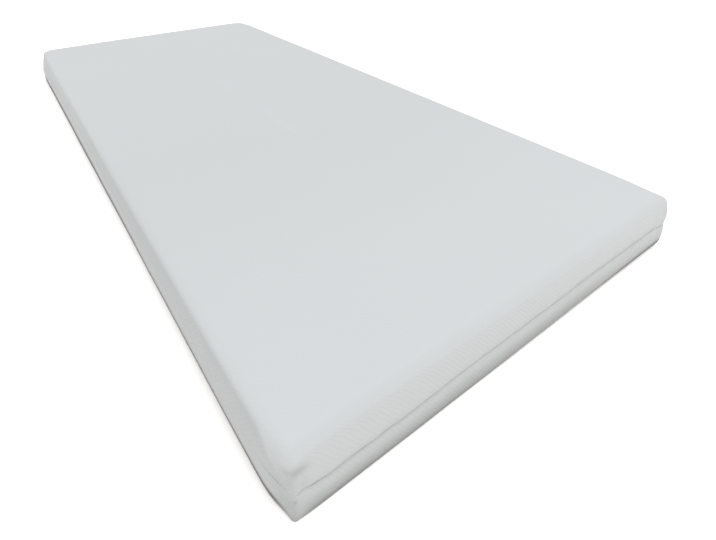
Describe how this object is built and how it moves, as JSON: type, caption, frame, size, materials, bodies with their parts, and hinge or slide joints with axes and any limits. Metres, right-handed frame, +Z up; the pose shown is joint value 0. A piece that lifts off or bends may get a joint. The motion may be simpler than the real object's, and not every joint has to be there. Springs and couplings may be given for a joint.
{
  "type": "cold foam mattress",
  "caption": "Thin single-bed foam mattress lying flat, in a white knit cover of an upper and a lower shell joined by a drawn-in seam round the sides.",
  "frame": {"origin": "middle of the flat underside, on the surface that the mattress lies on", "axes": "+X along the length towards the foot end, +Y across the width, +Z up through the thickness"},
  "size_m": [1.9996, 0.8998, 0.12],
  "materials": {
    "upper_knit": "matt white double knit with a fine diagonal rib",
    "lower_knit": "matt white double knit with a fine diagonal rib"
  },
  "bodies": {
    "root": {"upper_cover": "upper_knit", "lower_cover": "lower_knit"}
  },
  "joints": []
}
